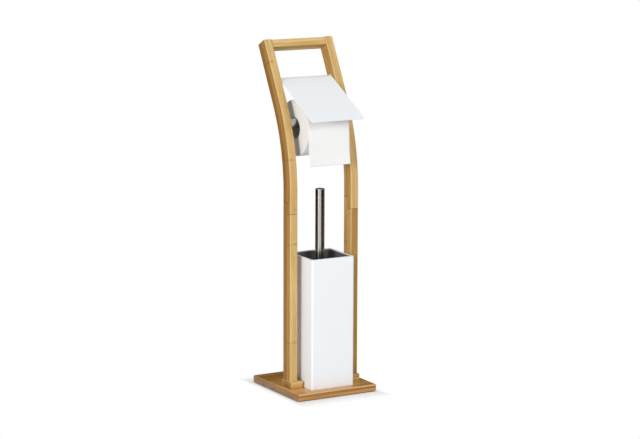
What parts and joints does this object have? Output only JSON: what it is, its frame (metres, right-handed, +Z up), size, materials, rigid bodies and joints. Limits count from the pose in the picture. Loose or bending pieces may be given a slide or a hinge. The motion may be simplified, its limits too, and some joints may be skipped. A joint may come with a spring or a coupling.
{
  "type": "toilet brush and paper stand",
  "caption": "Free-standing bamboo bathroom stand: a covered toilet paper roll on a sprung spindle above a square brush holder with its brush.",
  "frame": {"origin": "on the floor, below the middle of the base plate's footprint", "axes": "+X towards the stand's right seen from the front, +Y towards the back (the side the rails lean to), +Z up"},
  "size_m": [0.2, 0.208, 0.777],
  "materials": {
    "bamboo": "satin",
    "dowel_wood": "satin",
    "pad_rubber": "matte",
    "zinc_steel": "satin",
    "rod_steel": "satin",
    "washer_plastic": "satin",
    "white_enamel": "satin",
    "spindle_metal": "satin",
    "cap_plastic": "gloss",
    "core_card": "matte",
    "tissue": "matte",
    "liner_plastic": "matte",
    "handle_steel": "polished",
    "dark_plastic": "satin",
    "bristle_nylon": "matte"
  },
  "bodies": {
    "stand": {"base_plate": "bamboo", "anti_slip_pads": "pad_rubber", "left_foot_block": "bamboo", "right_foot_block": "bamboo", "left_post": "bamboo", "right_post": "bamboo", "left_rail": "bamboo", "right_rail": "bamboo", "top_grip": "bamboo", "grip_dowels": "dowel_wood", "post_screws": "zinc_steel", "hinge_rod": "rod_steel", "hinge_washers": "washer_plastic", "spindle_outer_tube": "spindle_metal", "spindle_left_cap": "cap_plastic", "paper_sheet": "tissue"},
    "cover": {"cover": "white_enamel"},
    "spindle_inner": {"spindle_inner_tube": "spindle_metal", "spindle_right_cap": "cap_plastic", "spindle_spring": "zinc_steel"},
    "roll": {"paper_core": "core_card", "paper_roll": "tissue"},
    "holder": {"holder_shell": "white_enamel", "holder_liner": "liner_plastic"},
    "brush": {"brush_handle": "handle_steel", "brush_end_cap": "handle_steel", "brush_collar": "dark_plastic", "brush_core": "dark_plastic", "brush_bristles": "bristle_nylon"}
  },
  "joints": [
    {"name": "cover_flip", "type": "hinge", "parent": "stand", "child": "cover", "pos_m": [0, 0.05062, 0.68828], "axis": [-1, 0, 0], "range_deg": [-4, 125]},
    {"name": "roll_spin", "type": "hinge", "parent": "stand", "child": "roll", "pos_m": [0, 0.00178, 0.58828], "axis": [1, 0, 0], "continuous": true},
    {"name": "spindle_press", "type": "slide", "parent": "stand", "child": "spindle_inner", "axis": [-1, 0, 0], "range_m": [0, 0.008], "stiffness_N_per_m": 300, "springref_m": -0.01, "deforming": ["spindle_spring"]},
    {"name": "holder_slide", "type": "slide", "parent": "stand", "child": "holder", "axis": [0, -1, 0], "range_m": [-0.075, 0.075]},
    {"name": "brush_lift", "type": "slide", "parent": "holder", "child": "brush", "axis": [0, 0, 1], "range_m": [0, 0.07]}
  ]
}
